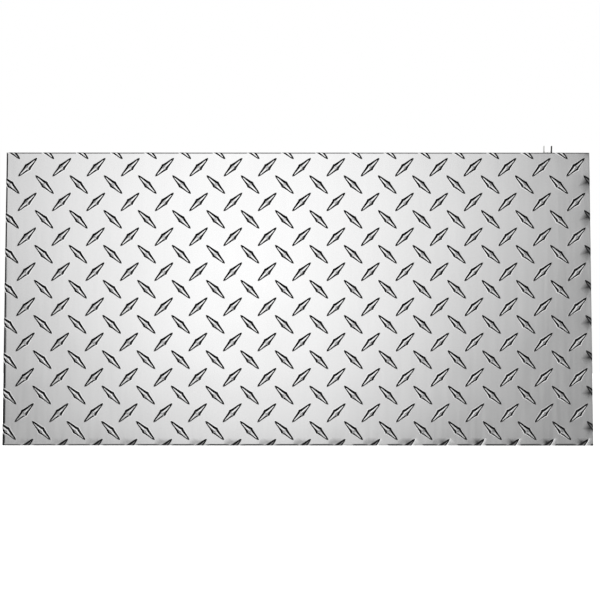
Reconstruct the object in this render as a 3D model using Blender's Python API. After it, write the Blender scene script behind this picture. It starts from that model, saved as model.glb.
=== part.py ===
"""Stick-on kick plate: a thin aluminium sheet embossed with diamond tread, with foam tape on its back.

Metres, +Z up, width along X, and the front faces -Y. The origin is the middle of the plane that the
release liners' outer faces lie in, which is the plane that stands against the door.
"""
import math

import bmesh
import bpy
from mathutils import Matrix

INCH = 0.0254

# The sheet
WIDTH = 24 * INCH
HEIGHT = 12 * INCH
SHEET = 0.025 * INCH

# The tread: two families of lugs at +45 and -45 degrees on one lattice, half a pitch apart both ways
PITCH_X = 0.03579
PITCH_Z = 0.03652
FIRST_LUG_X = 0.00378       # the rising lug nearest the middle of the sheet
FIRST_LUG_Z = -0.00896
LUG_HEIGHT = 0.0012
LUG_HALF_LENGTH = 0.0136    # where the lug leaves the sheet
LUG_HALF_WIDTH = 0.0036
LUG_TOP_SHARE = 0.62        # size of its flat top against its outline, so that all four flanks are flat
LUG_ROOT = 0.0002           # how far a lug reaches into the sheet that it is joined to

# The adhesive strips on the back
STRIPS = 7
STRIP_PITCH = 0.0872
STRIP_WIDTH = 0.375 * INCH
STRIP_LENGTH = 0.300
TAPE = 0.0011               # thickness of the foam tape
LINER = 0.00015             # thickness of the paper liner
TAB = 0.0073                # how far the last liner stands up over the top of the sheet
SEAM = 0.00005              # gap between two flat layers

# Where each layer starts, counted from the door
TAPE_BACK = -(LINER + SEAM)
SHEET_BACK = TAPE_BACK - TAPE - SEAM
SHEET_FRONT = SHEET_BACK - SHEET


def clear_scene():
    for item in list(bpy.data.objects):
        bpy.data.objects.remove(item, do_unlink=True)


def new_collection(name):
    collection = bpy.data.collections.new(name)
    bpy.context.scene.collection.children.link(collection)
    return collection


def new_material(name, color, roughness, metallic=0.0):
    material = bpy.data.materials.new(name)
    material.use_nodes = True
    shader = material.node_tree.nodes["Principled BSDF"]
    shader.inputs["Base Color"].default_value = (*color, 1.0)
    shader.inputs["Roughness"].default_value = roughness
    shader.inputs["Metallic"].default_value = metallic
    return material


def new_object(name, mesh_builder, collection, material=None, location=(0.0, 0.0, 0.0)):
    """Make a mesh object from a bmesh, which is freed."""
    mesh = bpy.data.meshes.new(name)
    mesh_builder.to_mesh(mesh)
    mesh_builder.free()
    item = bpy.data.objects.new(name, mesh)
    item.location = location
    collection.objects.link(item)
    if material:
        mesh.materials.append(material)
    return item


def box(name, size, location, collection, material=None):
    builder = bmesh.new()
    bmesh.ops.create_cube(builder, size=1.0, matrix=Matrix.Diagonal((*size, 1.0)))
    return new_object(name, builder, collection, material, location)


def add_lug(builder, x, z, angle):
    """One lug, standing towards -Y from y = 0, with its root a little behind y = 0."""
    depth = LUG_HEIGHT + LUG_ROOT
    root_share = 1 + (1 - LUG_TOP_SHARE) * LUG_ROOT / LUG_HEIGHT
    stand = Matrix.Translation((0.0, LUG_ROOT - depth / 2, 0.0)) @ Matrix.Rotation(math.pi / 2, 4, "X")
    stretch = Matrix.Diagonal((LUG_HALF_LENGTH, 1.0, LUG_HALF_WIDTH, 1.0))
    place = Matrix.Translation((x, 0.0, z)) @ Matrix.Rotation(-angle, 4, "Y") @ stretch @ stand
    bmesh.ops.create_cone(builder, cap_ends=True, segments=4, radius1=root_share, radius2=LUG_TOP_SHARE,
                          depth=depth, matrix=place)


def lattice(first_x, first_z):
    """Every place of one family of lugs that the sheet can show, whole or cut by an edge."""
    reach_x = WIDTH / 2 + LUG_HALF_LENGTH
    reach_z = HEIGHT / 2 + LUG_HALF_LENGTH
    columns = range(math.ceil((-reach_x - first_x) / PITCH_X), math.floor((reach_x - first_x) / PITCH_X) + 1)
    rows = range(math.ceil((-reach_z - first_z) / PITCH_Z), math.floor((reach_z - first_z) / PITCH_Z) + 1)
    return [(first_x + column * PITCH_X, first_z + row * PITCH_Z) for column in columns for row in rows]


def tread(name, collection, y):
    """All the lugs as one guide object, standing on the plane at y."""
    builder = bmesh.new()
    for x, z in lattice(FIRST_LUG_X, FIRST_LUG_Z):
        add_lug(builder, x, z, math.radians(45))
    for x, z in lattice(FIRST_LUG_X + PITCH_X / 2, FIRST_LUG_Z + PITCH_Z / 2):
        add_lug(builder, x, z, math.radians(-45))
    return as_guide(new_object(name, builder, collection, location=(0.0, y, 0.0)))


def as_guide(item):
    item.hide_render = True
    item.display_type = "WIRE"
    return item


def combine(item, operation, other):
    modifier = item.modifiers.new(other.name, "BOOLEAN")
    modifier.operation = operation
    modifier.solver = "EXACT"
    modifier.object = other


def kick_plate(parts, cutters, material):
    """The sheet with its lugs pressed out of it, then sheared to size through the outer lugs."""
    spare = 2 * LUG_HALF_LENGTH
    middle = (SHEET_FRONT + SHEET_BACK) / 2
    size = (WIDTH + 2 * spare, SHEET, HEIGHT + 2 * spare)
    plate = box("kick_plate", size, (0.0, middle, 0.0), parts, material)
    combine(plate, "UNION", tread("raised_lugs", cutters, SHEET_FRONT))
    combine(plate, "DIFFERENCE", tread("pressed_pockets", cutters, SHEET_BACK))
    shear = box("sheared_outline", (WIDTH, 20 * SHEET, HEIGHT), (0.0, middle, 0.0), cutters)
    combine(plate, "INTERSECT", as_guide(shear))


def adhesive_strips(parts, foam, paper):
    """Upright foam tape strips on the back of the sheet, each under its own release liner."""
    for number in range(1, STRIPS + 1):
        x = (number - (STRIPS + 1) / 2) * STRIP_PITCH
        tape_middle = TAPE_BACK - TAPE / 2
        box(f"tape_strip_{number}", (STRIP_WIDTH, TAPE, STRIP_LENGTH), (x, tape_middle, 0.0), parts, foam)
        bottom = -STRIP_LENGTH / 2
        top = HEIGHT / 2 + TAB if number == STRIPS else STRIP_LENGTH / 2
        place = (x, -LINER / 2, (top + bottom) / 2)
        box(f"release_liner_{number}", (STRIP_WIDTH, LINER, top - bottom), place, parts, paper)


def build():
    clear_scene()
    parts = new_collection("kick_plate_parts")
    cutters = new_collection("cutters")
    aluminium = new_material("bright_aluminium", (0.80, 0.80, 0.80), 0.28, metallic=1.0)
    foam = new_material("foam_tape", (0.86, 0.86, 0.84), 0.9)
    paper = new_material("release_paper", (0.93, 0.93, 0.91), 0.55)
    kick_plate(parts, cutters, aluminium)
    adhesive_strips(parts, foam, paper)


build()
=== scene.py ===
"""Looks of the stick-on kick plate: the embossed sheet, its foam tape and release liners, and the studio."""

import math

import bmesh
import bpy
from mathutils import Matrix, Vector, noise
from mathutils.geometry import delaunay_2d_cdt


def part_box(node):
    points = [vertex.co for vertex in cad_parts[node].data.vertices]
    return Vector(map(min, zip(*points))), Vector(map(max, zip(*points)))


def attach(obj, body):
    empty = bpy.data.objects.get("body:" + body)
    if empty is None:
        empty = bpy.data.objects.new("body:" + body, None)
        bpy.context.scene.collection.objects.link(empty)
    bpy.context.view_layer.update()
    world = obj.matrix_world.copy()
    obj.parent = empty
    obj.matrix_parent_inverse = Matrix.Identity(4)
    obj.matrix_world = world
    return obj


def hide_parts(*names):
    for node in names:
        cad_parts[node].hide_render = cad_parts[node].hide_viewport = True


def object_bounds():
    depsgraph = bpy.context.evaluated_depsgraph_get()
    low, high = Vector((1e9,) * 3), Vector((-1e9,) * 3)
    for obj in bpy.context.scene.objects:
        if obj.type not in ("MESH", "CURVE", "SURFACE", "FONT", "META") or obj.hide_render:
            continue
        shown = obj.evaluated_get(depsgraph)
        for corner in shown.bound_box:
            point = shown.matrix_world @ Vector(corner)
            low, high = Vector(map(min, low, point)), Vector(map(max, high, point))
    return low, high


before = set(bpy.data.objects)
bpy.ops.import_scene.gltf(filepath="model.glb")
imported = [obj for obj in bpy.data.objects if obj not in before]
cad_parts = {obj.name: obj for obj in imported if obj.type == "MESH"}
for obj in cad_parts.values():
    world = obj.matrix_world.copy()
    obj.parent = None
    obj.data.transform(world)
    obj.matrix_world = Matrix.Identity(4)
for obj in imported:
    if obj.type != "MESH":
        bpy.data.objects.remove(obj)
cad_low, cad_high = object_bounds()

# ---------------------------------------------------------------------------------------------------
# Sizes, in millimetres. The sheet's box, its back and the strips come from the CAD.
# ---------------------------------------------------------------------------------------------------
MM = 0.001
sheet_low, sheet_high = (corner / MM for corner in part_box("kick_plate"))
HALF_WIDTH = sheet_high.x
HALF_HEIGHT = sheet_high.z
SHEET = 0.635
BACK = sheet_high.y
FRONT = BACK - SHEET
STRIPS = 7

# The tread's lattice, as in the CAD
PITCH_X = 35.79
PITCH_Z = 36.52
FIRST_LUG = (3.78, -8.96)

# A lug's outline is a slender lozenge with drawn-out tips and a pointed shoulder at its middle. Each pair
# is the outline where it leaves the sheet and the outline of its top.
LUG_HALF_LENGTH = (13.6, 10.6)
LUG_HALF_WIDTH = (3.48, 1.02)
LUG_TAPER = (0.192, 0.068)
LUG_TIP = (2.6, 2.0)
LUG_SHOULDER = (0.60, 0.72)
LUG_SHOULDER_REACH = 1.3
LUG_HEIGHT = 1.02           # at the rim of its top
LUG_CROWN = 0.02
LUG_NUB = 0.12
LUG_NUB_REACH = 2.2
LUG_PINCH = 0.36            # how much narrower the top's lower half is beside the painted flank highlight
LUG_PINCH_AT, LUG_PINCH_REACH = 1.6, 1.8
LUG_LEAN = (0.16, 0.58)     # how far the outline and the top sit below the lattice point
LUG_REACH = 10.5            # sideways and up from the lattice point to its furthest point

# Rings up a lug: share of the way in from its outline, share of the height, and the value that the material
# reads: -1 on the foot, painted as a white highlight, 0 on the sheet, up to 1 on the top, and 2 on the nub;
# between 0 and 1 it paints the flank near black as painted shade.
FINE_STATIONS = (0.0, 0.09, 0.22, 0.42, 0.66, 0.87, 0.965, 1.0)
COARSE_STATIONS = (0.0, 0.2, 0.6, 1.0)
FINE_FLANK = ((-0.50, 0.0, 0.0), (-0.08, 0.0, -1.0), (0.04, 0.04, 0.3), (0.26, 0.21, 0.5), (0.89, 0.96, 0.8),
              (1.0, 1.0, 1.0))
FOOT_HIGHLIGHT = (0.50, 0.27)         # how strong the painted highlight on the foot is below and above a lug
FLANK_HIGHLIGHT_AT, FLANK_HIGHLIGHT_REACH = 1.3, 1.1      # the painted highlight on the flank beside the lower shoulder, standing in for the floor's reflection
COARSE_FLANK = ((0.0, 0.0, 0.0), (0.2, 0.12, 0.0), (0.9, 0.98, 0.0))
CROWN_RINGS = (0.72, 0.38)

LAND_SPACING = 9.0          # between the points that carry the sheet's waviness
LAND_CLEARANCE = 1.6        # from a lug's outline to the nearest of them
OVERHANG = 24.0             # how far the pattern is made past the sheared edges
EDGE_ROWS = (0.2, 0.6, 1.1, 1.7, 3.2, 5.5)

# Depth of the roll-over that shearing leaves along each edge, and the waviness of the thin sheet
ROLL_WIDTH = 1.1
ROLL_LEFT, ROLL_RIGHT, ROLL_TOP, ROLL_BOTTOM = 0.30, 0.05, 0.16, 0.12
WAVE_DEPTH = 0.20
WAVE_LENGTH = 95.0

# The shear crushed every lug whose lattice point is this near the right or the bottom edge, or past it
CRUSH_MARGIN = 1.0
CRUSHED_RIGHT, CRUSHED_BOTTOM = 0.55, 0.7       # what is left of their height
SCUFF_MARGIN = 6.0          # the same at the left edge, where it only scuffed them

# Reach and depth of the dents round crushed lugs, and the painted shade along each edge (0 to 0.5)
DENT_RIGHT, DENT_BOTTOM = (6.8, 5.0), (5.0, 4.5)
DENT_DEPTH = 0.75
EDGE_SHADE_LEFT, EDGE_SHADE_BOTTOM = 0.5, 0.5
# Strength and reach of the painted shade beside crushed lugs, where their dents fall into shade
DENT_SHADE, DENT_SHADE_REACH = 0.22, 3.8
EDGE_SHADE_TOP = (0.45, 0.20)  # at its left and right ends
SCUFFED, WORN = 0.046, 0.036    # how dull the tops are: on the lugs that the left edge cuts, and lower left


# ---------------------------------------------------------------------------------------------------
# The sheet
# ---------------------------------------------------------------------------------------------------
def mix(pair, share):
    return pair[0] + (pair[1] - pair[0]) * share


def outline_width(along, share):
    """Half width of a lug's outline at a distance along it, for the outline a share of the way up."""
    along = abs(along)
    length, tip = mix(LUG_HALF_LENGTH, share), mix(LUG_TIP, share)
    if along >= length:
        return 0.0
    shoulder = mix(LUG_SHOULDER, share) * math.exp(-(math.hypot(along, 0.25) - 0.25) / LUG_SHOULDER_REACH)
    width = mix(LUG_HALF_WIDTH, share) - mix(LUG_TAPER, share) * along + shoulder
    into_tip = max(along - (length - tip), 0.0) / tip
    return width * math.sqrt(1.0 - into_tip * into_tip)


def outline(share, stations):
    """The outline as points (along, across), starting at one tip and going round once."""
    length = mix(LUG_HALF_LENGTH, share)
    row = [-length * s for s in reversed(stations)] + [length * s for s in stations[1:]]
    upper = [(a, outline_width(a, share)) for a in row]
    lower = [(a, -b) for a, b in reversed(upper[1:-1])]
    return upper + lower


def nub(along):
    return math.exp(-(along / LUG_NUB_REACH) ** 2)


def crown_point(along, across, q):
    """A point on a lug's top, at a share of the way from its centre to its rim."""
    height = LUG_HEIGHT + (LUG_CROWN + LUG_NUB * nub(along)) * (1 - q * q)
    return (along, across, height, 1.0 + nub(along))


def lug_rings(fine):
    """A whole lug as rings of (along, across, height, finish), from the sheet up to its centre."""
    stations = FINE_STATIONS if fine else COARSE_STATIONS
    flank = FINE_FLANK if fine else COARSE_FLANK
    rings = [[(a, b, LUG_HEIGHT * rise, finish_and_painted_light) for a, b in outline(share, stations)]
             for share, rise, finish_and_painted_light in flank]
    if fine:
        rings += [[crown_point(a * q, b * q, q) for a, b in outline(1.0, stations)] for q in CROWN_RINGS]
        rings.append([crown_point(0.0, 0.0, 0.0)])
    else:
        rings.append([(0.0, 0.0, LUG_HEIGHT, 0.0)])
    return rings


class Lug:
    def __init__(self, x, z, rising):
        self.x, self.z = x, z
        self.cos = math.sqrt(0.5)
        self.sin = math.sqrt(0.5) if rising else -math.sqrt(0.5)
        self.turn = 1.0 if rising else -1.0
        self.cut = abs(x) + LUG_REACH > HALF_WIDTH or abs(z) + LUG_REACH > HALF_HEIGHT
        self.height = crushed_share(x, z)
        # How strong the painted flank highlight is: it varies across the sheet and by noise.
        flank_highlight = 0.85 - 0.25 * z / HALF_HEIGHT - 0.5 * self.turn * x / HALF_WIDTH
        self.flank_highlight = min(max(flank_highlight + 0.4 * noise.noise(Vector((x, 0.4, z))), 0.0), 1.5)
        lower_left = min(max(-x / HALF_WIDTH, 0.0), 1.0) * min(max(0.5 - z / HALF_HEIGHT, 0.0), 1.0)
        self.dulled = SCUFFED if x < -HALF_WIDTH + SCUFF_MARGIN else WORN * lower_left
        # A painted highlight on the lower side of the crushed lugs along the bottom, stronger to the right.
        self.sliver_highlight = min(max(x / 100.0, 0.0), 1.0) if x < HALF_WIDTH - CRUSH_MARGIN else 0.0

    def finish_and_painted_light(self, along, across, value):
        """What the material reads: a painted highlight on one flank and at the foot, painted shade on crushed
        lugs, and duller tops where the shear scuffed them.
        """
        # Crushed lugs are painted dark as painted shade; below those along the bottom sits a painted
        # highlight.
        if self.height < 1.0:
            if value <= 0.0:
                return -self.sliver_highlight * (1.0 if value < 0.0 else 0.25) if across < 0.0 else 0.0
            return 0.5 if value < 1.0 else 0.15
        if value < 0.0:
            return value * FOOT_HIGHLIGHT[across > 0.0] * fade(abs(along), 7.0, 13.0)
        if value >= 1.0:
            return value - self.dulled
        # A painted highlight on the lower flank beside the shoulder, where the flank would reflect the floor.
        if across < 0.0 and 0.0 < value < 1.0:
            off_highlight = (along * self.turn + FLANK_HIGHLIGHT_AT) / FLANK_HIGHLIGHT_REACH
            return mix((value, 1.0), min(1.3 * self.flank_highlight * math.exp(-off_highlight * off_highlight), 1.0))
        return value

    def place(self, along, across, rise=0.0):
        if across < 0.0:
            off_pinch = (along * self.turn - LUG_PINCH_AT) / LUG_PINCH_REACH
            across *= 1.0 - LUG_PINCH * rise * math.exp(-off_pinch * off_pinch)
        z = self.z + along * self.sin + across * self.cos - mix(LUG_LEAN, rise)
        return (self.x + along * self.cos - across * self.sin, z)

    def inside(self, x, z, share, margin=0.0):
        dx, dz = x - self.x, z - self.z + LUG_LEAN[0]
        along, across = dx * self.cos + dz * self.sin, dz * self.cos - dx * self.sin
        length = mix(LUG_HALF_LENGTH, share)
        if abs(along) > length + margin:
            return False
        return abs(across) < outline_width(min(abs(along), length - 0.5 * margin), share) + margin


def crushed_share(x, z):
    """Lugs that the shear went through on the right and at the bottom were pressed nearly flat."""
    if x > HALF_WIDTH - CRUSH_MARGIN:
        return CRUSHED_RIGHT
    if z < -(HALF_HEIGHT - CRUSH_MARGIN):
        return CRUSHED_BOTTOM
    return 1.0


def all_lugs():
    lugs = []
    for rising, offset in ((True, 0.0), (False, 0.5)):
        first_x, first_z = FIRST_LUG[0] + offset * PITCH_X, FIRST_LUG[1] + offset * PITCH_Z
        for column in range(-12, 13):
            for row in range(-8, 9):
                x, z = first_x + column * PITCH_X, first_z + row * PITCH_Z
                if abs(x) < HALF_WIDTH + 11 and abs(z) < HALF_HEIGHT + 11:
                    lugs.append(Lug(x, z, rising))
    return lugs


LUGS = all_lugs()
CRUSHED_LUGS = [lug for lug in LUGS if lug.height < 1.0]


def land_points(lugs):
    """Points between the lugs, in staggered rows, kept clear of every lug."""
    by_cell = {}
    for lug in lugs:
        by_cell.setdefault((round(lug.x / PITCH_X), round(lug.z / PITCH_Z)), []).append(lug)
    points = []
    columns = int((HALF_WIDTH + OVERHANG) / LAND_SPACING)
    rows = int((HALF_HEIGHT + OVERHANG) / LAND_SPACING)
    for i in range(-columns, columns + 1):
        for j in range(-rows, rows + 1):
            x, z = (i + 0.5 * (j % 2)) * LAND_SPACING, j * LAND_SPACING
            home = (round(x / PITCH_X), round(z / PITCH_Z))
            cells = [(home[0] + a, home[1] + b) for a in (-1, 0, 1) for b in (-1, 0, 1)]
            near = [lug for cell in cells for lug in by_cell.get(cell, ())]
            if not any(lug.inside(x, z, 0.0, LAND_CLEARANCE) for lug in near):
                points.append((x, z))
    return points


def sheet_side(lugs, is_front):
    """One side of the sheet as a bmesh (x, -height, z). Lugs that an edge cuts are always fine."""
    points, edges, owner = [], [], []
    for index, lug in enumerate(lugs):
        lug.rings = lug_rings(is_front or lug.cut)
        lug.start = len(points)
        count = len(lug.rings[0])
        points += [lug.place(a, b) for a, b, _, _ in lug.rings[0]]
        owner += [index] * count
        edges += [(lug.start + k, lug.start + (k + 1) % count) for k in range(count)]
    points += land_points(lugs)
    owner += [-1] * (len(points) - len(owner))

    builder = bmesh.new()
    finish_layer = builder.verts.layers.float.new("finish_and_painted_light")
    verts, found = [], {}
    out = delaunay_2d_cdt([Vector(p) for p in points], edges, [], 0, 1e-5)
    coords, triangles, origins = out[0], out[2], out[3]
    for index, co in enumerate(coords):
        verts.append(builder.verts.new((co.x, 0.0, co.y)))
        for origin in origins[index]:
            found[origin] = verts[-1]
    owners = [owner[origin[0]] for origin in origins]
    for triangle in triangles:
        held_by = {owners[v] for v in triangle}
        if len(held_by) == 1 and -1 not in held_by:
            x = sum(coords[v].x for v in triangle) / 3
            z = sum(coords[v].y for v in triangle) / 3
            lug = lugs[held_by.pop()]
            if lug.inside(x, z, FINE_FLANK[0][0] if is_front or lug.cut else 0.0):
                continue
        builder.faces.new([verts[v] for v in triangle])

    for lug in lugs:
        count = len(lug.rings[0])
        below = [found[lug.start + k] for k in range(count)]
        for vert, (a, b, _, finish_and_painted_light) in zip(below, lug.rings[0]):
            vert[finish_layer] = lug.finish_and_painted_light(a, b, finish_and_painted_light) if is_front else 0.0
        for ring in lug.rings[1:]:
            above = []
            for a, b, height, finish_and_painted_light in ring:
                x, z = lug.place(a, b, min(height / LUG_HEIGHT, 1.0))
                above.append(builder.verts.new((x, -height * lug.height, z)))
                above[-1][finish_layer] = lug.finish_and_painted_light(a, b, finish_and_painted_light) if is_front else 0.0
            for k in range(count):
                if len(above) == 1:
                    builder.faces.new((below[k], below[(k + 1) % count], above[0]))
                else:
                    builder.faces.new((below[k], below[(k + 1) % count], above[(k + 1) % count], above[k]))
            below = above
    trim(builder, EDGE_ROWS if is_front else ())
    return builder


def trim(builder, rows):
    """Cuts the sides along the sheared edges, and adds rows of points beside them for the roll-over."""
    sides = ((Vector((1, 0, 0)), HALF_WIDTH), (Vector((-1, 0, 0)), HALF_WIDTH),
             (Vector((0, 0, 1)), HALF_HEIGHT), (Vector((0, 0, -1)), HALF_HEIGHT))
    for outward, distance in sides:
        everything = builder.verts[:] + builder.edges[:] + builder.faces[:]
        bmesh.ops.bisect_plane(builder, geom=everything, dist=1e-4, plane_co=outward * distance,
                               plane_no=outward, clear_outer=True)
    for outward, distance in sides:
        for row in rows:
            band = [f for f in builder.faces if max(v.co.dot(outward) for v in f.verts) > distance - row]
            near = {v for f in band for v in f.verts} | {e for f in band for e in f.edges}
            bmesh.ops.bisect_plane(builder, geom=[*near, *band], dist=1e-4,
                                   plane_co=outward * (distance - row), plane_no=outward)
    for vert in builder.verts:
        vert.co.x = min(max(vert.co.x, -HALF_WIDTH), HALF_WIDTH)
        vert.co.z = min(max(vert.co.z, -HALF_HEIGHT), HALF_HEIGHT)


def sheared_wall(builder, front, back, fixed, limit):
    """Closes one sheared edge between the two sides: fixed is the axis that is constant along it."""
    running = 2 - fixed
    line = [sorted((v for v in side if abs(v.co[fixed] - limit) < 1e-3), key=lambda v: v.co[running])
            for side in (front, back)]
    loop = line[0] + line[1][::-1]
    flat = [Vector((v.co[running], v.co.y)) for v in loop]
    edges = [(k, (k + 1) % len(loop)) for k in range(len(loop))]
    out = delaunay_2d_cdt(flat, edges, [list(range(len(loop)))], 1, 1e-6)
    for triangle in out[2]:
        corners = [loop[out[3][v][0]] for v in triangle]
        if len(set(corners)) == 3 and not builder.faces.get(corners):
            builder.faces.new(corners)


def wave(x, z):
    """How far the thin sheet lies back towards the door, from 0 to WAVE_DEPTH."""
    place = Vector((x / WAVE_LENGTH, 3.7, z / (0.8 * WAVE_LENGTH)))
    level = 0.5 + 0.42 * noise.noise(place) + 0.26 * noise.noise(place * 2.6)
    return WAVE_DEPTH * min(max(level, 0.0), 1.0)


def dents(x, z):
    """The sheet gave way round the lugs that the shear crushed on the right and at the bottom."""
    depth = 0.0
    if x > HALF_WIDTH - 24 or z < -HALF_HEIGHT + 16:
        for lug in CRUSHED_LUGS:
            spread = DENT_RIGHT if lug.x > HALF_WIDTH - CRUSH_MARGIN else DENT_BOTTOM
            near = ((x - lug.x) / spread[0]) ** 2 + ((z - lug.z) / spread[1]) ** 2
            if near < 9:
                depth += DENT_DEPTH * math.exp(-near)
    return depth


def sag(x, z):
    return wave(x, z) + dents(x, z)


def roll(distance, depth):
    """The sheet's front turns down over its last millimetre towards a sheared edge."""
    into = max(1.0 - distance / ROLL_WIDTH, 0.0)
    return depth * into * into


def painted_edge_shade(x, z):
    """Painted shade on the front beside each edge, and beside crushed lugs."""
    up, right = 0.5 + 0.5 * z / HALF_HEIGHT, 0.5 + 0.5 * x / HALF_WIDTH
    left = EDGE_SHADE_LEFT * fade(x + HALF_WIDTH, mix((1.5, 1.0), up), mix((2.2, 1.5), up))
    top = mix(EDGE_SHADE_TOP, right) * fade(HALF_HEIGHT - z, 0.5, 1.1)
    from_crushed = min(abs(x - lug.x - 3.0) for lug in CRUSHED_LUGS if lug.z < CRUSH_MARGIN - HALF_HEIGHT)
    bottom = fade(z + HALF_HEIGHT, mix((0.6, 1.2), right), mix((1.2, 1.8), right))
    bottom *= EDGE_SHADE_BOTTOM * (1.0 - fade(from_crushed, 5.0, 9.0))
    return max(left, top, bottom, painted_dent_shade(x, z))


def painted_dent_shade(x, z):
    """Painted shade on the left of crushed lugs, for their dents: at the right edge, and more and more along
    the bottom.
    """
    share = 0.0
    if x > HALF_WIDTH - 24 or z < -HALF_HEIGHT + 16:
        for lug in CRUSHED_LUGS:
            if lug.x > HALF_WIDTH - CRUSH_MARGIN:
                middle, strength = (lug.x - 7.0, lug.z + 2.5), DENT_SHADE
            else:
                middle, strength = (lug.x + 2.6, 3.6 - HALF_HEIGHT), DENT_SHADE * min(max(lug.x / 200, 0.0), 1.0)
            off = math.hypot(x - middle[0], z - middle[1]) / DENT_SHADE_REACH
            share = max(share, strength * math.exp(-off * off))
    return share


def fade(value, full, gone):
    return min(max((gone - value) / (gone - full), 0.0), 1.0)


def shape_sheet(builder, front, back):
    finish_layer = builder.verts.layers.float["finish_and_painted_light"]
    for vert in back:
        vert.co.y += BACK + sag(vert.co.x, vert.co.z)
    for vert in front:
        x, z = vert.co.x, vert.co.z
        sides = max(roll(x + HALF_WIDTH, ROLL_LEFT), roll(HALF_WIDTH - x, ROLL_RIGHT))
        ends = max(roll(HALF_HEIGHT - z, ROLL_TOP), roll(z + HALF_HEIGHT, ROLL_BOTTOM))
        vert.co.y += FRONT + sag(x, z) + max(sides, ends)
        # Land points carry the painted shade along the edges and beside crushed lugs.
        if -0.01 < vert[finish_layer] < 0.01:
            vert[finish_layer] = painted_edge_shade(x, z)


def sheet_mesh():
    builder = sheet_side(LUGS, True)
    front_count = len(builder.verts)
    rear = sheet_side(LUGS, False)
    for vert in rear.verts:
        vert.co.y += SHEET
    spare = bpy.data.meshes.new("rear")
    rear.to_mesh(spare)
    rear.free()
    builder.from_mesh(spare)
    bpy.data.meshes.remove(spare)
    builder.verts.ensure_lookup_table()
    front, back = builder.verts[:front_count], builder.verts[front_count:]
    for fixed, limit in ((0, -HALF_WIDTH), (0, HALF_WIDTH), (2, -HALF_HEIGHT), (2, HALF_HEIGHT)):
        sheared_wall(builder, front, back, fixed, limit)
    for vert in back:
        vert.co.y -= SHEET
    shape_sheet(builder, front, back)
    bmesh.ops.recalc_face_normals(builder, faces=builder.faces[:])
    bmesh.ops.scale(builder, vec=(MM, MM, MM), verts=builder.verts[:])
    return builder


def new_piece(name, builder, material, body, node):
    mesh = bpy.data.meshes.new(name)
    builder.to_mesh(mesh)
    builder.free()
    piece = bpy.data.objects.new(name, mesh)
    bpy.context.scene.collection.objects.link(piece)
    mesh.materials.append(material)
    mesh.shade_smooth()
    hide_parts(node)
    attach(piece, body)
    return piece


def even_shading(piece, sharp_degrees):
    """Large faces rule the shading where they meet small ones, so the flat land stays flat."""
    piece.data.set_sharp_from_angle(angle=math.radians(sharp_degrees))
    weighted = piece.modifiers.new("even_shading", "WEIGHTED_NORMAL")
    weighted.keep_sharp = True
    weighted.weight = 60


# ---------------------------------------------------------------------------------------------------
# Foam tape and release liners
# ---------------------------------------------------------------------------------------------------
def strip_mesh(node, section, shift, step=4.0):
    """A long strip: one closed section of (x, y) shares of the CAD box, repeated up the strip."""
    low, high = (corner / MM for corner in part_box(node))
    size = high - low
    count = max(int(size.z / step), 2)
    builder = bmesh.new()
    across_layer = builder.verts.layers.float.new("across")
    rings = []
    for k in range(count + 1):
        z = low.z + size.z * k / count
        ring = []
        for across, deep in section:
            x = low.x + size.x * (0.5 + 0.5 * across * edge_trim(across, z, low.x))
            y = low.y + size.y * deep
            ring.append(builder.verts.new(Vector((x, y + shift(x, z, deep), z)) * MM))
            ring[-1][across_layer] = across
        rings.append(ring)
    around = len(section)
    for below, above in zip(rings, rings[1:]):
        for k in range(around):
            builder.faces.new((below[k], below[(k + 1) % around], above[(k + 1) % around], above[k]))
    builder.faces.new(rings[0])
    builder.faces.new(rings[-1][::-1])
    bmesh.ops.recalc_face_normals(builder, faces=builder.faces[:])
    return builder


def edge_trim(across, z, seed):
    """The slit edges of tape and paper wander by a few hundredths of a millimetre."""
    return 1.0 - 0.012 * (1.0 + noise.noise(Vector((across * 5.0, seed, z / 17.0))))


def foam_section():
    """Flat front and back, and sides that swell in the middle and pull in at the cut faces."""
    side = [(0.975, 0.0), (0.985, 0.12), (1.0, 0.35), (1.0, 0.65), (0.985, 0.88), (0.975, 1.0)]
    face = (-0.9, -0.45, 0.0, 0.45, 0.9)
    front = [(x, 0.0) for x in face]
    back = [(x, 1.0) for x in reversed(face)]
    return front + side + back + [(-x, y) for x, y in reversed(side)]


def paper_section():
    face = (-0.96, -0.5, 0.0, 0.5, 0.96)
    front = [(x, 0.0) for x in face]
    back = [(x, 1.0) for x in reversed(face)]
    return front + [(1.0, 0.2), (1.0, 0.8)] + back + [(-1.0, 0.8), (-1.0, 0.2)]


def foam_follows(x, z, deep):
    """The front of the foam takes up the sheet's waviness and dents."""
    return (1.0 - deep) * sag(x, z)


def paper_curls(x, z, deep):
    """The free tab above the sheet curls a little towards the front."""
    above = max(z - HALF_HEIGHT + 2.0, 0.0)
    return -0.011 * above * above


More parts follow.
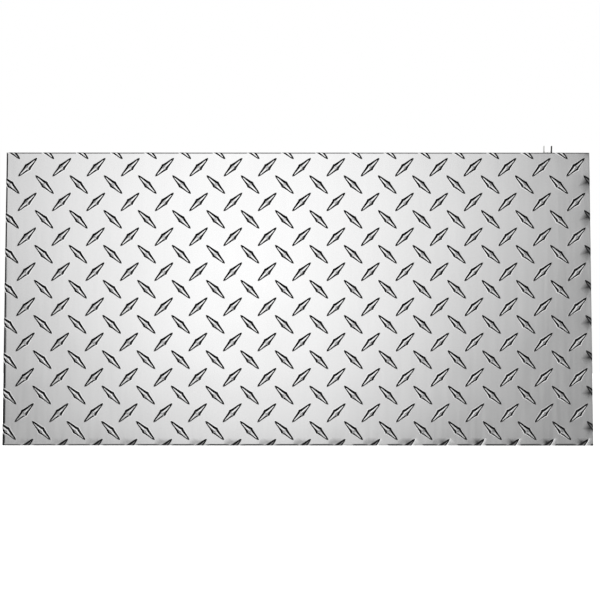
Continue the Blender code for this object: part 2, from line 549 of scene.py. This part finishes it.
# ---------------------------------------------------------------------------------------------------
# Materials
# ---------------------------------------------------------------------------------------------------
class Nodes:
    """Short calls for building one material's nodes."""

    def __init__(self, name):
        self.material = bpy.data.materials.new(name)
        self.material.use_nodes = True
        self.tree = self.material.node_tree
        self.shader = self.tree.nodes["Principled BSDF"]
        self.place = self.add("ShaderNodeTexCoord").outputs["Object"]

    def add(self, kind, **settings):
        node = self.tree.nodes.new(kind)
        for key, value in settings.items():
            setattr(node, key, value)
        return node

    def link(self, source, target):
        self.tree.links.new(source, target)

    def put(self, socket, value):
        if isinstance(value, bpy.types.NodeSocket):
            self.link(value, socket)
        else:
            socket.default_value = value

    def stretched(self, x, y, z):
        mapping = self.add("ShaderNodeMapping")
        mapping.inputs["Scale"].default_value = (x, y, z)
        self.link(self.place, mapping.inputs["Vector"])
        return mapping.outputs["Vector"]

    def noise(self, vector, scale, detail=2.0, roughness=0.5):
        node = self.add("ShaderNodeTexNoise")
        self.link(vector, node.inputs["Vector"])
        node.inputs["Scale"].default_value = scale
        node.inputs["Detail"].default_value = detail
        node.inputs["Roughness"].default_value = roughness
        return node.outputs["Fac"]

    def math(self, operation, first, second=0.0, clamp=False):
        node = self.add("ShaderNodeMath", operation=operation, use_clamp=clamp)
        self.put(node.inputs[0], first)
        self.put(node.inputs[1], second)
        return node.outputs["Value"]

    def ramp(self, value, low, high, out_low, out_high):
        node = self.add("ShaderNodeMapRange", clamp=True)
        self.put(node.inputs["Value"], value)
        limits = {"From Min": low, "From Max": high, "To Min": out_low, "To Max": out_high}
        for key, number in limits.items():
            node.inputs[key].default_value = number
        return node.outputs["Result"]

    def facing_back(self, front_value, back_value):
        """One value on faces towards -Y and another on faces towards the door."""
        facing = self.add("ShaderNodeSeparateXYZ")
        self.link(self.add("ShaderNodeNewGeometry").outputs["True Normal"], facing.inputs[0])
        return self.ramp(facing.outputs["Y"], -0.2, 0.2, front_value, back_value)

    def attribute(self, name):
        return self.add("ShaderNodeAttribute", attribute_name=name).outputs["Fac"]

    def bump(self, height, strength, distance, normal=None):
        node = self.add("ShaderNodeBump")
        node.inputs["Strength"].default_value = strength
        node.inputs["Distance"].default_value = distance
        self.link(height, node.inputs["Height"])
        if normal:
            self.link(normal, node.inputs["Normal"])
        return node.outputs["Normal"]

    def tint(self, share, dark, light):
        node = self.add("ShaderNodeMix", data_type="RGBA")
        self.put(node.inputs["Factor"], share)
        node.inputs["A"].default_value = (*dark, 1.0)
        node.inputs["B"].default_value = (*light, 1.0)
        return node.outputs["Result"]

    def blend(self, share, first, second):
        node = self.add("ShaderNodeMix", data_type="RGBA")
        self.put(node.inputs["Factor"], share)
        self.link(first, node.inputs["A"])
        self.link(second, node.inputs["B"])
        return node.outputs["Result"]


def aluminium():
    """Bright rolled aluminium: faint upright grain, cloudy polish, burnished lug tops, duller flanks.
    Flanks, edge bands and crushed lugs are painted near black as painted shade; feet get a painted highlight.
    """
    n = Nodes("bright_aluminium")
    finish_and_painted_light = n.attribute("finish_and_painted_light")
    grain = n.noise(n.stretched(1.0, 1.0, 0.02), 2600.0, detail=3.0, roughness=0.6)
    streak = n.noise(n.stretched(1.0, 1.0, 0.05), 260.0, detail=2.0)
    cloud = n.noise(n.place, 16.0, detail=3.0, roughness=0.55)
    speck = n.noise(n.place, 1400.0, detail=2.0)
    nub_mottle = n.ramp(n.noise(n.place, 1100.0, detail=1.0), 0.42, 0.58, 0.0, 1.0)

    top = n.ramp(finish_and_painted_light, 0.90, 1.0, 0.0, 1.0)
    upper_flank = n.ramp(finish_and_painted_light, 0.5, 0.8, 0.0, 1.0)
    # The foot just outside each lug is painted white and nearly non-metallic: a painted highlight round its
    # base.
    foot_highlight = n.ramp(finish_and_painted_light, -0.1, -0.5, 0.0, 1.0)
    nub_share = n.ramp(finish_and_painted_light, 1.2, 1.7, 0.0, 1.0)
    flank = n.math("MULTIPLY", n.ramp(finish_and_painted_light, 0.0, 0.22, 0.0, 1.0), n.math("SUBTRACT", 1.0, top))
    burnished_top = n.math("MULTIPLY", top, n.math("SUBTRACT", 1.0, nub_share))
    burnished_top_and_foot_highlight = n.math("MAXIMUM", burnished_top, foot_highlight)

    upright = n.math("ADD", n.ramp(streak, 0.3, 0.7, 0.0, 0.4), n.ramp(grain, 0.3, 0.7, 0.0, 0.15))
    mottle = n.math("ADD", n.ramp(cloud, 0.3, 0.7, 0.0, 0.25), n.ramp(speck, 0.35, 0.65, 0.0, 0.2))
    polish = n.math("ADD", mottle, upright)
    color = n.tint(polish, (0.855, 0.855, 0.858), (0.995, 0.995, 0.995))
    color = n.blend(burnished_top_and_foot_highlight, color, n.tint(polish, (0.95, 0.95, 0.95), (0.99, 0.99, 0.99)))
    # The nub is tinted darker than the top, from 0.50 to 0.92 by noise.
    color = n.blend(nub_share, color, n.tint(nub_mottle, (0.50, 0.50, 0.505), (0.92, 0.92, 0.92)))
    # Flanks, crushed lugs and edge bands are painted near black: painted shade, a little lighter up the
    # flank.
    painted_flank_shade = n.blend(upper_flank, n.tint(speck, (0.03, 0.03, 0.031), (0.08, 0.08, 0.082)),
                   n.tint(speck, (0.07, 0.07, 0.071), (0.15, 0.15, 0.152)))
    color = n.blend(flank, color, painted_flank_shade)
    n.link(color, n.shader.inputs["Base Color"])
    satin = n.math("ADD", n.math("MULTIPLY", burnished_top, 0.20), n.math("MULTIPLY", foot_highlight, 0.9), clamp=True)
    n.link(n.math("SUBTRACT", 1.0, satin), n.shader.inputs["Metallic"])

    rough = n.math("ADD", n.ramp(cloud, 0.3, 0.7, 0.15, 0.19), n.ramp(streak, 0.3, 0.7, -0.015, 0.015))
    rough = n.math("ADD", rough, n.math("MULTIPLY", flank, 0.16))
    rough = n.math("ADD", rough, n.facing_back(0.0, 0.12), clamp=True)
    n.link(rough, n.shader.inputs["Roughness"])

    fine = n.bump(grain, 0.03, 0.00002)
    n.link(n.bump(speck, 0.03, 0.00003, fine), n.shader.inputs["Normal"])
    return n.material


def foam():
    """White closed-cell foam: small pits and a faint unevenness in its colour."""
    n = Nodes("foam_tape")
    cells = n.add("ShaderNodeTexVoronoi")
    n.link(n.place, cells.inputs["Vector"])
    cells.inputs["Scale"].default_value = 2200.0
    cloud = n.noise(n.place, 180.0, detail=2.0)
    n.link(n.tint(cloud, (0.78, 0.78, 0.76), (0.88, 0.88, 0.86)), n.shader.inputs["Base Color"])
    n.link(n.ramp(cloud, 0.3, 0.7, 0.82, 0.95), n.shader.inputs["Roughness"])
    n.link(n.bump(cells.outputs["Distance"], 0.5, 0.00012), n.shader.inputs["Normal"])
    return n.material


def paper():
    """White paper, coated on the tape's side, duller on the other, with painted shadow along the slit edges
    of its tab.
    """
    n = Nodes("release_paper")
    fibre = n.noise(n.stretched(1.0, 1.0, 0.35), 900.0, detail=4.0, roughness=0.65)
    lines = n.noise(n.stretched(1.0, 1.0, 0.01), 1500.0, detail=1.0)
    share = n.math("MULTIPLY", n.math("ADD", fibre, lines), 0.5)
    coated = n.tint(n.ramp(share, 0.3, 0.7, 0.0, 1.0), (0.92, 0.92, 0.905), (0.98, 0.98, 0.97))
    plain = n.tint(n.ramp(share, 0.35, 0.65, 0.0, 1.0), (0.66, 0.65, 0.61), (0.80, 0.79, 0.75))
    clean = n.blend(n.facing_back(0.0, 1.0), coated, plain)

    position = n.add("ShaderNodeSeparateXYZ")
    n.link(n.place, position.inputs[0])
    on_tab = n.ramp(position.outputs["Z"], (HALF_HEIGHT - 3) * MM, (HALF_HEIGHT - 1) * MM, 0.0, 1.0)
    across = n.attribute("across")
    # Painted shadow along the tab's slit edges: darker on the right, lighter on the left.
    right = n.math("MULTIPLY", n.ramp(across, 0.62, 0.68, 0.0, 1.0), on_tab)
    left = n.math("MULTIPLY", n.ramp(across, -0.62, -0.70, 0.0, 0.55), on_tab)
    tab_edge_shadow = n.tint(fibre, (0.02, 0.02, 0.02), (0.05, 0.05, 0.05))
    color = n.blend(n.math("MAXIMUM", left, right), clean, tab_edge_shadow)
    n.link(color, n.shader.inputs["Base Color"])
    n.link(n.ramp(fibre, 0.3, 0.7, 0.42, 0.58), n.shader.inputs["Roughness"])
    n.shader.inputs["Coat Weight"].default_value = 0.15
    n.shader.inputs["Coat Roughness"].default_value = 0.3
    n.link(n.bump(fibre, 0.25, 0.00004), n.shader.inputs["Normal"])
    return n.material


# ---------------------------------------------------------------------------------------------------
# Studio: white surroundings for the eye, and soft boxes as the metal sees them
# ---------------------------------------------------------------------------------------------------
# Each soft box: direction towards it, the angles in degrees at which it is full and gone, brightness
SOFT_BOXES = (
    ((-0.043, -1.0, 0.154), 0.0, 17.1, 0.80),
    ((-0.055, -1.0, 0.01), 0.0, 8.0, 0.17),
    ((0.0, -1.0, -0.10), 25.0, 51.0, 0.30),
    ((0.0, -0.60, -0.80), 20.0, 50.0, 0.06),
    ((0.0, -0.80, -0.60), 8.0, 30.0, 0.30),
    ((0.0, -0.27, -1.0), 8.0, 28.0, 0.70),
    ((0.75, -0.66, 0.0), 4.0, 24.0, 0.45),
    ((-0.75, -0.66, 0.0), 4.0, 24.0, 0.45),
    ((0.0, 1.0, 0.15), 12.0, 60.0, 0.80),
    ((0.0, 0.2, 1.0), 5.0, 24.0, 0.45),
)
DIM_SURROUNDINGS = 0.012
SOFT_FILL = 1.0


def studio():
    world = bpy.data.worlds.new("studio")
    bpy.context.scene.world = world
    world.use_nodes = True
    tree = world.node_tree
    tree.nodes.clear()

    def add(kind, **settings):
        node = tree.nodes.new(kind)
        for key, value in settings.items():
            setattr(node, key, value)
        return node

    way = add("ShaderNodeTexCoord").outputs["Generated"]
    total = None
    for direction, full, gone, brightness in SOFT_BOXES:
        towards = add("ShaderNodeVectorMath", operation="DOT_PRODUCT")
        tree.links.new(way, towards.inputs[0])
        towards.inputs[1].default_value = Vector(direction).normalized()
        fade = add("ShaderNodeMapRange", clamp=True)
        tree.links.new(towards.outputs["Value"], fade.inputs["Value"])
        fade.inputs["From Min"].default_value = math.cos(math.radians(gone))
        fade.inputs["From Max"].default_value = math.cos(math.radians(full))
        fade.inputs["To Min"].default_value = 0.0
        fade.inputs["To Max"].default_value = brightness
        joined = add("ShaderNodeMath", operation="ADD")
        tree.links.new(fade.outputs["Result"], joined.inputs[0])
        if total:
            tree.links.new(total, joined.inputs[1])
        else:
            joined.inputs[1].default_value = DIM_SURROUNDINGS
        total = joined.outputs["Value"]

    ray = add("ShaderNodeLightPath")
    seen = add("ShaderNodeMix", data_type="FLOAT")
    tree.links.new(ray.outputs["Is Glossy Ray"], seen.inputs["Factor"])
    seen.inputs["A"].default_value = SOFT_FILL
    tree.links.new(total, seen.inputs["B"])
    eye = add("ShaderNodeMix", data_type="FLOAT")
    tree.links.new(ray.outputs["Is Camera Ray"], eye.inputs["Factor"])
    tree.links.new(seen.outputs["Result"], eye.inputs["A"])
    eye.inputs["B"].default_value = 1.0
    background = add("ShaderNodeBackground")
    background.inputs["Color"].default_value = (1.0, 1.0, 1.0, 1.0)
    tree.links.new(eye.outputs["Result"], background.inputs["Strength"])
    tree.links.new(background.outputs["Background"], add("ShaderNodeOutputWorld").inputs["Surface"])


def floor():
    """A pale floor that the sheet's lower edge stands just over."""
    bpy.ops.mesh.primitive_plane_add(size=30.0, location=(0.0, 0.0, cad_low.z - 0.0005))
    plane = bpy.context.object
    plane.name = "studio_floor"
    n = Nodes("studio_floor")
    n.shader.inputs["Base Color"].default_value = (0.95, 0.95, 0.95, 1.0)
    n.shader.inputs["Roughness"].default_value = 1.0
    n.shader.inputs["Specular IOR Level"].default_value = 0.0
    n.shader.inputs["Emission Color"].default_value = (1.0, 1.0, 1.0, 1.0)
    n.shader.inputs["Emission Strength"].default_value = 0.6
    plane.data.materials.append(n.material)
    plane.visible_glossy = False


CAMERA_PLACE = (0.0035, -1.2, -0.0721)     # from the middle of the sheet's front
CAMERA_PITCH, CAMERA_YAW, CAMERA_ROLL = 3.34, -0.06, 0.025
CAMERA_LENS = 69.45


def camera():
    pitch, yaw, roll_angle = (math.radians(angle) for angle in (CAMERA_PITCH, CAMERA_YAW, CAMERA_ROLL))
    forward = Vector((math.sin(yaw) * math.cos(pitch), math.cos(yaw) * math.cos(pitch), math.sin(pitch)))
    right = Vector((math.cos(yaw), -math.sin(yaw), 0.0))
    up = right.cross(forward)
    rolled_right = right * math.cos(roll_angle) + up * math.sin(roll_angle)
    rolled_up = up * math.cos(roll_angle) - right * math.sin(roll_angle)
    data = bpy.data.cameras.new("camera")
    data.lens = CAMERA_LENS
    data.sensor_width = 36.0
    item = bpy.data.objects.new("camera", data)
    bpy.context.scene.collection.objects.link(item)
    turn = Matrix((rolled_right, rolled_up, -forward)).transposed().to_4x4()
    item.matrix_world = Matrix.Translation(Vector(CAMERA_PLACE) + Vector((0.0, FRONT * MM, 0.0))) @ turn
    bpy.context.scene.camera = item


def main():
    bpy.context.scene.view_settings.view_transform = "Standard"
    camera()
    studio()
    floor()
    sheet, metal = sheet_mesh(), aluminium()
    plate = new_piece("kick_plate_sheet", sheet, metal, "plate", "kick_plate")
    even_shading(plate, 50.0)
    foam_material, paper_material = foam(), paper()
    for number in range(1, STRIPS + 1):
        tape = f"tape_strip_{number}"
        mesh = strip_mesh(tape, foam_section(), foam_follows)
        even_shading(new_piece(f"foam_tape_{number}", mesh, foam_material, "plate", tape), 60.0)
        liner = f"release_liner_{number}"
        mesh = strip_mesh(liner, paper_section(), paper_curls)
        even_shading(new_piece(f"paper_liner_{number}", mesh, paper_material, f"liner_{number}", liner), 60.0)


main()
